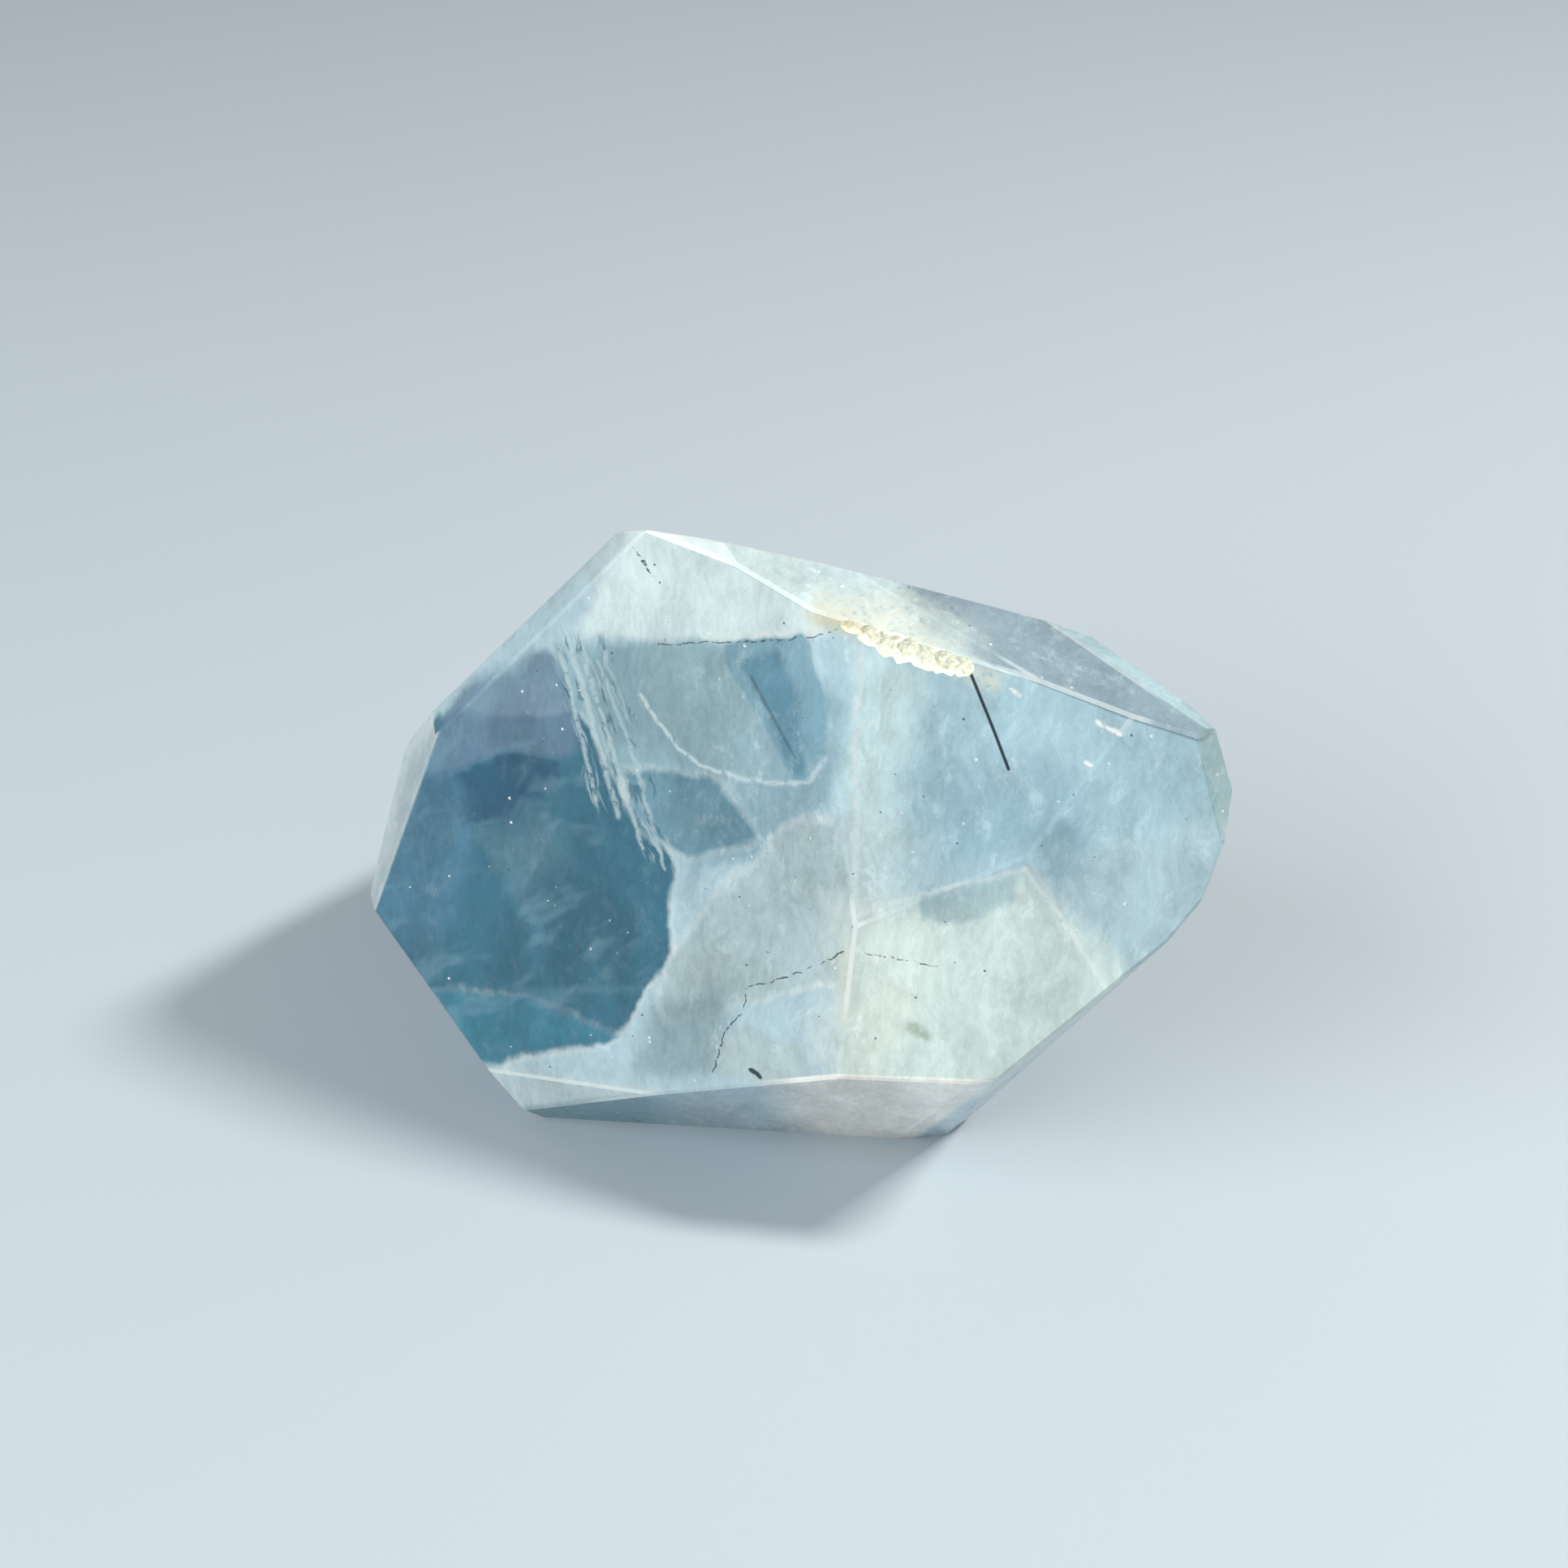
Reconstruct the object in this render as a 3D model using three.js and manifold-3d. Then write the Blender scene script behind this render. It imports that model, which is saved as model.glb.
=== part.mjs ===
// Fluorite freeform: one cut and polished stone standing on a small flat foot.
// Lengths are in millimetres, +Z is up, +X runs along the stone, the broad front faces -Y.
import * as THREE from "three";
import { mergeVertices } from "three/addons/utils/BufferGeometryUtils.js";
import Module from "manifold-3d";

const wasm = await Module();
wasm.setup();

// Width of the polished bevel along every edge, and of the bevel across its ends.
const edgeBevel = 0.32;
// Size of the rough block that the facets are cut from.
const roughBlock = 90;
// A point well inside the stone, used to turn every facet outward.
const heart = new THREE.Vector3(0, 0, 18);

// Corners of the polished shape before the edges are eased.
const corners = {
  peak: [-8.2, -7.2, 45.2],
  peakBack: [-10.3, -5.9, 44.2],
  crest: [-3.2, -7.6, 45.2],
  crestFront: [-1.7, -8.9, 44.7],
  ridgeBend: [3.5, -10.5, 43.5],
  topNotch: [8.0, -5.8, 43.3],
  ridgeStep: [14.9, -10.3, 41.1],
  ridgeFall: [23.0, -10.3, 39.1],
  ridgeEnd: [27.4, -9.7, 38.4],
  shoulderBack: [17.4, -3.0, 40.2],
  shoulderLow: [18.3, -2.6, 39.8],
  shoulderMid: [24.9, -4.3, 37.7],
  tipTop: [28.5, -7.8, 37.3],
  tipBack: [29.8, -8.6, 33.6],
  tipFront: [30.0, -11.2, 31.4],
  tipLow: [29.2, -12.4, 27.7],
  cheekTop: [27.5, -13.5, 25.2],
  cheekLow: [24.2, -15.1, 21.5],
  cheekInner: [18.3, -14.1, 29.1],
  frontMid: [8.0, -16.5, 24.9],
  frontLow: [8.0, -19.4, 13.8],
  keelLeft: [-4.0, -18.1, 7.8],
  heelTop: [-18.8, -15.5, 4.0],
  heelLow: [-16.3, -16.0, 1.8],
  footLeft: [-14.8, -15.2, 0.0],
  keelRight: [18.2, -17.7, 14.7],
  keelInner: [12.3, -14.4, 7.1],
  footFront: [12.3, -9.3, 0.0],
  keelFoot: [13.8, -8.5, 0.0],
  footRight: [13.6, -8.0, 0.0],
  footSide: [14.5, -6.6, 0.0],
  footBackRight: [15.7, 5.2, 0.0],
  footBack: [8.4, 15.3, 0.0],
  footBackLeft: [-14.4, 13.7, 0.0],
  footHeel: [-20.7, -0.5, 0.0],
  flankLow: [-28.4, -10.9, 12.9],
  flankRim: [-29.2, -9.6, 13.3],
  flankTop: [-23.6, -8.4, 26.9],
  flankPeak: [-24.4, -6.6, 27.9],
  flankBack: [-27.3, -5.5, 23.6],
  rearLeftTop: [-19.6, 17.9, 15.9],
  rearMid: [-4.5, 18.9, 15.8],
  rearCrown: [-4.5, 18.9, 19.2],
  rearCrownLeft: [-19.6, 17.9, 20.0],
  rearLeftRim: [-29.7, 1.7, 15.7],
  rearLeftLow: [-21.6, 17.2, 14.0],
  rearHeel: [-30.0, -4.4, 11.9],
  rearRightTop: [7.3, 19.3, 14.1],
  rearRightLow: [11.8, 18.3, 9.6],
  rearSide: [18.0, 12.0, 12.5],
  rearSideLow: [16.2, 5.2, 0.9],
};

// Facets as rings of corners. Each ring is levelled to one flat plane.
const facets = {
  front: ["peak", "crestFront", "frontMid", "frontLow", "keelLeft", "heelTop", "flankLow", "flankTop"],
  frontRightTop: ["ridgeBend", "ridgeStep", "ridgeFall", "cheekInner", "frontMid"],
  frontRightLow: ["frontMid", "cheekInner", "cheekLow", "keelRight", "frontLow"],
  cheek: ["ridgeFall", "ridgeEnd", "tipFront", "tipLow", "cheekTop", "cheekLow", "cheekInner"],
  tip: ["ridgeEnd", "tipTop", "tipBack", "tipFront"],
  strip: ["flankTop", "peak", "peakBack", "flankPeak"],
  flank: ["flankLow", "flankTop", "flankPeak", "flankBack", "flankRim"],
  crestFacet: ["peak", "crestFront", "crest"],
  topLeft: ["crest", "crestFront", "ridgeStep", "topNotch"],
  topRight: ["topNotch", "ridgeStep", "ridgeFall", "ridgeEnd", "shoulderBack"],
  shoulder: ["shoulderBack", "ridgeEnd", "tipTop", "shoulderMid", "shoulderLow"],
  underFront: ["keelLeft", "frontLow", "keelInner", "footFront", "footLeft", "heelLow"],
  heel: ["heelTop", "keelLeft", "heelLow"],
  keel: ["keelInner", "keelRight", "keelFoot"],
  foot: ["footLeft", "footFront", "footRight", "footSide", "footBackRight", "footBack", "footBackLeft", "footHeel"],
  underLeft: ["flankLow", "heelTop", "heelLow", "footLeft", "footHeel", "rearHeel", "flankRim"],
  underRight: ["cheekLow", "cheekTop", "footSide", "footRight", "keelRight"],
  underTip: ["cheekTop", "tipLow", "rearSideLow", "footBackRight", "footSide"],
  side: ["tipLow", "tipFront", "tipBack", "rearSide", "rearSideLow"],
  rearLeft: ["flankPeak", "peakBack", "rearLeftTop", "rearLeftLow", "rearLeftRim", "flankBack"],
  rearLeftEdge: ["flankBack", "rearLeftRim", "rearHeel", "flankRim"],
  rearTopLeft: ["peakBack", "peak", "crest", "rearCrown", "rearCrownLeft"],
  rearTopRight: ["crest", "topNotch", "shoulderBack", "shoulderLow", "rearRightTop", "rearMid"],
  rearRight: ["shoulderLow", "shoulderMid", "rearSide", "rearRightLow", "rearRightTop"],
  rearTip: ["shoulderMid", "tipTop", "tipBack", "rearSide"],
  rearLow: ["rearLeftTop", "rearMid", "rearRightTop", "rearRightLow", "footBack", "footBackLeft", "rearLeftLow"],
  rearHeelFacet: ["rearLeftRim", "rearLeftLow", "footBackLeft", "footHeel", "rearHeel"],
  rearFoot: ["rearRightLow", "rearSide", "rearSideLow", "footBackRight", "footBack"],
};

// Bites of the rough chip: place along the ridge, half length, half width, depth and drop below the ridge.
const chipBites = [
  { along: 0.24, reach: 1.1, width: 0.6, depth: 0.2, drop: 0.4, turn: 20 },
  { along: 0.34, reach: 1.3, width: 0.85, depth: 0.32, drop: 0.55, turn: -35 },
  { along: 0.44, reach: 1.3, width: 1.0, depth: 0.36, drop: 0.7, turn: 50 },
  { along: 0.54, reach: 1.2, width: 1.1, depth: 0.44, drop: 0.75, turn: -15 },
  { along: 0.64, reach: 1.4, width: 1.05, depth: 0.38, drop: 0.8, turn: 70 },
  { along: 0.75, reach: 1.2, width: 1.0, depth: 0.42, drop: 0.75, turn: -60 },
  { along: 0.84, reach: 1.0, width: 0.85, depth: 0.32, drop: 0.65, turn: 30 },
];

function vec(name) {
  return new THREE.Vector3(...corners[name]);
}

// Best flat plane through a ring of corners, pointing out of the stone.
function planeOf(ring) {
  const points = ring.map(vec);
  const normal = new THREE.Vector3();
  const middle = new THREE.Vector3();
  points.forEach((p, i) => {
    const q = points[(i + 1) % points.length];
    normal.add(new THREE.Vector3().crossVectors(p, q));
    middle.add(p);
  });
  middle.divideScalar(points.length);
  normal.normalize();
  if (normal.dot(new THREE.Vector3().subVectors(middle, heart)) < 0) normal.negate();
  return { normal, depth: normal.dot(middle) };
}

// Puts ring points in order around the plane's normal, counter-clockwise seen from outside.
function orderRing(points, normal) {
  const middle = new THREE.Vector3();
  points.forEach((p) => middle.add(p));
  middle.divideScalar(points.length);
  const across = new THREE.Vector3().subVectors(points[0], middle).normalize();
  const up = new THREE.Vector3().crossVectors(normal, across);
  const angle = (p) => {
    const d = new THREE.Vector3().subVectors(p, middle);
    return Math.atan2(d.dot(up), d.dot(across));
  };
  return points.slice().sort((a, b) => angle(a) - angle(b));
}

// Cuts a closed set of flat faces with one plane and closes the cut with a new face.
function cutFaces(faces, plane, label) {
  const tiny = 1e-7;
  const kept = [];
  const rim = [];
  let removed = false;
  for (const face of faces) {
    const ring = [];
    face.ring.forEach((p, i) => {
      const q = face.ring[(i + 1) % face.ring.length];
      const a = plane.normal.dot(p) - plane.depth;
      const b = plane.normal.dot(q) - plane.depth;
      if (a <= tiny) ring.push(p);
      if (a > tiny) removed = true;
      if (Math.abs(a) <= tiny) rim.push(p);
      if ((a > tiny && b < -tiny) || (a < -tiny && b > tiny)) {
        const hit = p.clone().lerp(q, a / (a - b));
        ring.push(hit);
        rim.push(hit);
      }
    });
    if (ring.length >= 3) kept.push({ ring, plane: face.plane, label: face.label });
  }
  if (!removed) return faces;
  const corner = [];
  for (const p of rim) {
    if (!corner.some((q) => q.distanceTo(p) < 1e-5)) corner.push(p);
  }
  if (corner.length >= 3) kept.push({ ring: orderRing(corner, plane.normal), plane, label });
  return kept;
}

function blockFaces(size) {
  const faces = [];
  for (const axis of [0, 1, 2]) {
    for (const sign of [-1, 1]) {
      const normal = new THREE.Vector3().setComponent(axis, sign);
      const ring = [];
      for (const [u, v] of [[-1, -1], [1, -1], [1, 1], [-1, 1]]) {
        const p = new THREE.Vector3().setComponent(axis, sign * size);
        p.setComponent((axis + 1) % 3, u * size);
        p.setComponent((axis + 2) % 3, v * size);
        ring.push(p);
      }
      faces.push({ ring: orderRing(ring, normal), plane: { normal, depth: size }, label: "block" });
    }
  }
  return faces;
}

// Every edge of the cut shape: the two facets that share it and one point on it.
function edgesOf(faces) {
  const edges = [];
  faces.forEach((f, i) => {
    faces.slice(i + 1).forEach((g) => {
      const shared = f.ring.filter((p) => g.ring.some((q) => q.distanceTo(p) < 1e-4));
      if (shared.length >= 2) edges.push({ a: f.plane, b: g.plane, point: shared[0] });
    });
  });
  return edges;
}

// A bevel plane square to the middle of an edge, as wide as asked.
function bevelPlane(edge, width) {
  const normal = edge.a.normal.clone().add(edge.b.normal).normalize();
  const half = Math.acos(THREE.MathUtils.clamp(normal.dot(edge.a.normal), -1, 1));
  const bite = 0.5 * width * Math.tan(half);
  return { normal, depth: normal.dot(edge.point) - bite };
}

function solidFrom(vertices, triangles) {
  const mesh = new wasm.Mesh({
    numProp: 3,
    vertProperties: Float32Array.from(vertices),
    triVerts: Uint32Array.from(triangles),
  });
  return new wasm.Manifold(mesh);
}

function solidFromGeometry(geometry) {
  const bare = geometry.index ? geometry.toNonIndexed() : geometry.clone();
  bare.deleteAttribute("normal");
  bare.deleteAttribute("uv");
  const merged = mergeVertices(bare, 1e-4);
  return solidFrom(merged.attributes.position.array, merged.index.array);
}

function geometryFromFaces(faces) {
  const positions = [];
  for (const face of faces) {
    for (let k = 1; k < face.ring.length - 1; k += 1) {
      positions.push(...face.ring[0].toArray(), ...face.ring[k].toArray(), ...face.ring[k + 1].toArray());
    }
  }
  const geometry = new THREE.BufferGeometry();
  geometry.setAttribute("position", new THREE.Float32BufferAttribute(positions, 3));
  return geometry;
}

// One lumpy bite: a coarse ball with uneven corners, stretched along the ridge.
function biteGeometry(bite, index) {
  const ball = new THREE.IcosahedronGeometry(1, 2);
  ball.deleteAttribute("normal");
  ball.deleteAttribute("uv");
  const merged = mergeVertices(ball, 1e-4);
  const spot = merged.attributes.position;
  const p = new THREE.Vector3();
  for (let i = 0; i < spot.count; i += 1) {
    p.fromBufferAttribute(spot, i);
    const uneven = Math.sin(p.x * 9.1 + index * 2.3) * Math.cos(p.y * 7.7 - index) * Math.sin(p.z * 8.3 + index);
    p.multiplyScalar(1 + 0.2 * uneven);
    spot.setXYZ(i, p.x, p.y, p.z);
  }
  merged.scale(bite.reach, bite.width, bite.width);
  return merged;
}

// The polished shape: a block cut by every facet, then by a bevel along every edge.
let faces = blockFaces(roughBlock);
for (const [label, ring] of Object.entries(facets)) faces = cutFaces(faces, planeOf(ring), label);
const bevels = edgesOf(faces)
  .filter((edge) => edge.a.depth > 1e-6 && edge.b.depth > 1e-6)
  .map((edge) => bevelPlane(edge, edgeBevel));
for (const plane of bevels) faces = cutFaces(faces, plane, "bevel");
let stone = solidFromGeometry(geometryFromFaces(faces));

// The rough chip along the ridge, bitten out of the facet in front of it.
const ridgeStart = vec("ridgeBend");
const ridgeRun = new THREE.Vector3().subVectors(vec("ridgeStep"), ridgeStart);
const ridgeAlong = ridgeRun.clone().normalize();
const chipFace = planeOf(facets.frontRightTop).normal;
const chipDown = new THREE.Vector3().crossVectors(chipFace, ridgeAlong).normalize();
if (chipDown.z > 0) chipDown.negate();
chipBites.forEach((bite, index) => {
  const middle = ridgeStart.clone().addScaledVector(ridgeRun, bite.along);
  middle.addScaledVector(chipDown, bite.drop);
  middle.addScaledVector(chipFace, bite.width - bite.depth);
  const across = new THREE.Vector3().crossVectors(ridgeAlong, chipFace);
  const place = new THREE.Matrix4().makeBasis(ridgeAlong, chipFace, across).setPosition(middle);
  const roll = new THREE.Matrix4().makeRotationX(THREE.MathUtils.degToRad(bite.turn));
  stone = stone.subtract(solidFromGeometry(biteGeometry(bite, index).applyMatrix4(place.multiply(roll))));
});

// The finished body back as one named mesh.
const cut = stone.getMesh();
const positions = new Float32Array(cut.numVert * 3);
for (let i = 0; i < cut.numVert; i += 1) {
  for (let k = 0; k < 3; k += 1) positions[i * 3 + k] = cut.vertProperties[i * cut.numProp + k];
}
const body = new THREE.BufferGeometry();
body.setAttribute("position", new THREE.BufferAttribute(positions, 3));
body.setIndex(Array.from(cut.triVerts));
body.computeVertexNormals();

const fluorite = new THREE.MeshStandardMaterial({ color: 0x9fb6cf, roughness: 0.08, metalness: 0, flatShading: true });
fluorite.name = "fluorite";
const stoneMesh = new THREE.Mesh(body, fluorite);
stoneMesh.name = "stone";

const group = new THREE.Group();
group.name = "fluorite_freeform";
group.add(stoneMesh);

export default group;
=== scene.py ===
import bmesh
import bpy
from mathutils import Matrix, Vector


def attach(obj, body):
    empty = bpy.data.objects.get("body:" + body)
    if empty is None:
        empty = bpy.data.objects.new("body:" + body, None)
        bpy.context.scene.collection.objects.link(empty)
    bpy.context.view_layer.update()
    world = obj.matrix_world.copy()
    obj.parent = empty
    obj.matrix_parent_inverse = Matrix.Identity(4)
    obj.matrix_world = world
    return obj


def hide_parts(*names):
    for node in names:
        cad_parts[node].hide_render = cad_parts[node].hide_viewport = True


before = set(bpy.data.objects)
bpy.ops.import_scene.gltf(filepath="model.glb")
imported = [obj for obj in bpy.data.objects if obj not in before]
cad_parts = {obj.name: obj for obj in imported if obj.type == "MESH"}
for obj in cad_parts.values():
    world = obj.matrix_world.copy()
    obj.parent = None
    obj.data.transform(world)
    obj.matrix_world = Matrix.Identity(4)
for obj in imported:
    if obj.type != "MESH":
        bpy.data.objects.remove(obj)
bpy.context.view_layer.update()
print("frame loaded")

# Patterns are laid out in millimetres on the stone, in its own X (along), Y (back) and Z (up).
perMetre = 1000.0
onlyXZ = (1.0, 0.0, 1.0)
softStep = {"interpolation_type": "SMOOTHSTEP", "clamp": False}


# Colours are written as sRGB hex and turned to linear here.
def linearFromHex(text):
    parts = [int(text[i : i + 2], 16) / 255 for i in (1, 3, 5)]
    linear = [c / 12.92 if c <= 0.04045 else ((c + 0.055) / 1.055) ** 2.4 for c in parts]
    return (*linear, 1.0)


# Adds a shader node, sets it up, links or fills its inputs and hands back one output.
# Inputs are a row from the first socket on, or a dictionary of socket names or numbers.
def addNode(tree, kind, inputs=(), output=0, **settings):
    node = tree.nodes.new("ShaderNode" + kind)
    for name, value in settings.items():
        setattr(node, name, value)
    for key, value in inputs.items() if isinstance(inputs, dict) else enumerate(inputs):
        if isinstance(value, bpy.types.NodeSocket):
            tree.links.new(value, node.inputs[key])
        else:
            node.inputs[key].default_value = value
    return node.outputs[output] if len(node.outputs) else None


# Lays one colour over another where the mask says.
def layOver(tree, color, mask, hexText):
    inputs = {0: mask, 6: color, 7: linearFromHex(hexText)}
    return addNode(tree, "Mix", inputs, output=2, data_type="RGBA")


# The stone's place in millimetres, read from Object coordinates.
def stonePlace(tree):
    place = addNode(tree, "TexCoord", output=3)
    return addNode(tree, "VectorMath", {0: place, "Scale": perMetre}, operation="SCALE")


def spreadAxis(tree, place, axis):
    value = addNode(tree, "SeparateXYZ", (place,), output=axis)
    return addNode(tree, "CombineXYZ", (value, value, value))


# A noise colour around zero that bends straight borders.
def wobble(tree, place, noise):
    color = addNode(tree, "TexNoise", {"Vector": place, **noise}, output=1)
    return addNode(tree, "VectorMath", (color, (0.5, 0.5, 0.5)), operation="SUBTRACT")


# Area in square millimetres of an outline drawn in X and Z.
def outlineArea(outline):
    pairs = zip(outline, outline[1:] + outline[:1])
    return abs(sum(a[0] * b[1] - b[0] * a[1] for a, b in pairs)) / 2


# Three sides of the outline share each vector.
# The result equals the margin on the outline and is less inside it.
def zoneReach(tree, spreadX, spreadZ, outline, margin):
    middle = Vector((sum(p[0] for p in outline), sum(p[1] for p in outline))) / len(outline)
    sides = []
    for start, end in zip(outline, outline[1:] + outline[:1]):
        along = Vector((end[0] - start[0], end[1] - start[1])).normalized()
        outward = Vector((along.y, -along.x))
        if outward.dot(middle - Vector(start)) > 0:
            outward = -outward
        sides.append((outward.x, outward.y, margin - outward.dot(Vector(start))))
    while len(sides) % 3:
        sides.append(sides[-1])
    worst = (0.0, 0.0, 0.0)
    for first in range(0, len(sides), 3):
        factorX, factorZ, offset = zip(*sides[first : first + 3])
        three = addNode(tree, "VectorMath", (spreadX, factorX, offset), operation="MULTIPLY_ADD")
        three = addNode(tree, "VectorMath", (spreadZ, factorZ, three), operation="MULTIPLY_ADD")
        worst = addNode(tree, "VectorMath", (three, worst), operation="MAXIMUM")
    return addNode(tree, "VectorMath", (worst,), output=1, operation="LENGTH")


# Distance in millimetres from a run of straight pieces drawn in X and Z.
def runDistance(tree, flat, run):
    nearest = None
    for start, end in zip(run, run[1:]):
        a = Vector((start[0], 0, start[1]))
        ab = Vector((end[0], 0, end[1])) - a
        share = ab / ab.length_squared
        fromStart = addNode(tree, "VectorMath", (flat, a), operation="SUBTRACT")
        held = addNode(tree, "VectorMath", (fromStart, share), output=1, operation="DOT_PRODUCT")
        held = addNode(tree, "Clamp", (held,))
        foot = addNode(tree, "VectorMath", {0: ab, "Scale": held}, operation="SCALE")
        gap = addNode(tree, "VectorMath", (fromStart, foot), output=1, operation="DISTANCE")
        if nearest is not None:
            gap = addNode(tree, "Math", (nearest, gap), operation="MINIMUM")
        nearest = gap
    return nearest


# What the colour pattern is made of. Noise scales are per millimetre, and a fade says
# from which value to which one it runs, and what it gives at each end.
bodyValues = {
    "iceHex": "#b3ced9",
    "iceTopHex": "#bccdd4",
    "topFade": (38.0, 44.0, 0.0, 1.0),
    "cloudHex": "#d4e0e1",
    "cloudFade": (-10.0, 0.0, 0.07, 0.26),  # along X, so the right half is milkier
    "slowNoise": {"Scale": 0.2, "Detail": 1.0},
    "slowBend": (2.2, 2.2, 2.2),
    "quickNoise": {"Scale": 1.1, "Detail": 2.0},
    "quickBend": (0.6, 0.6, 0.6),
    "lineBend": (0.5, 0.0, 0.5),
    "wispStretch": (1.0, 0.6, 0.6),
    "wispNoise": {"Scale": 0.75, "Detail": 4.0, "Roughness": 0.78},
    "wispFade": (0.48, 0.78, 0.0, 1.0),
    "broadNoise": {"Scale": 0.22, "Detail": 2.0, "Roughness": 0.6},
    "broadShade": (0.3, 0.7, -0.14, 0.14),
    "fibreStretch": (1.6, 1.0, 0.55),
    "fibreNoise": {"Scale": 1.3, "Detail": 5.0, "Roughness": 0.74},
    "fibreShade": (0.3, 0.7, -0.1, 0.1),
    "leastMargin": 0.5,
    "leastBackArea": 60.0,  # smaller zones are left off the back
    "skinDepth": 0.15,  # how far under its plane a facet's own colour fades in
    "rimPlace": 0.15,
    "rimWidth": 0.5,
    "rimShare": (0.6, 0.4),  # how much the wisps break a pale rim, and what is left
    "streakNoise": {"Detail": 2.0, "Roughness": 0.65},
    "streakLean": 0.3,
    "dotNoise": {"Scale": 2.6, "Detail": 2.0, "Roughness": 0.5},
    "frontFade": (-7.5, -5.0, 1.0, 0.0),  # along Y, so fine marks stay on the front
    "veilAndHighlightBreaks": (0.26, 0.5, 0.0, 1.0),
    "speckCells": {"Scale": 0.8},
    "markHex": "#16282e",
    "markCore": 0.4,  # share of a mark's width that is fully dark
    "gapSoftness": 0.06,
    "straightBelow": 0.15,  # marks dotted less than this are needles and stay straight
}
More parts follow.
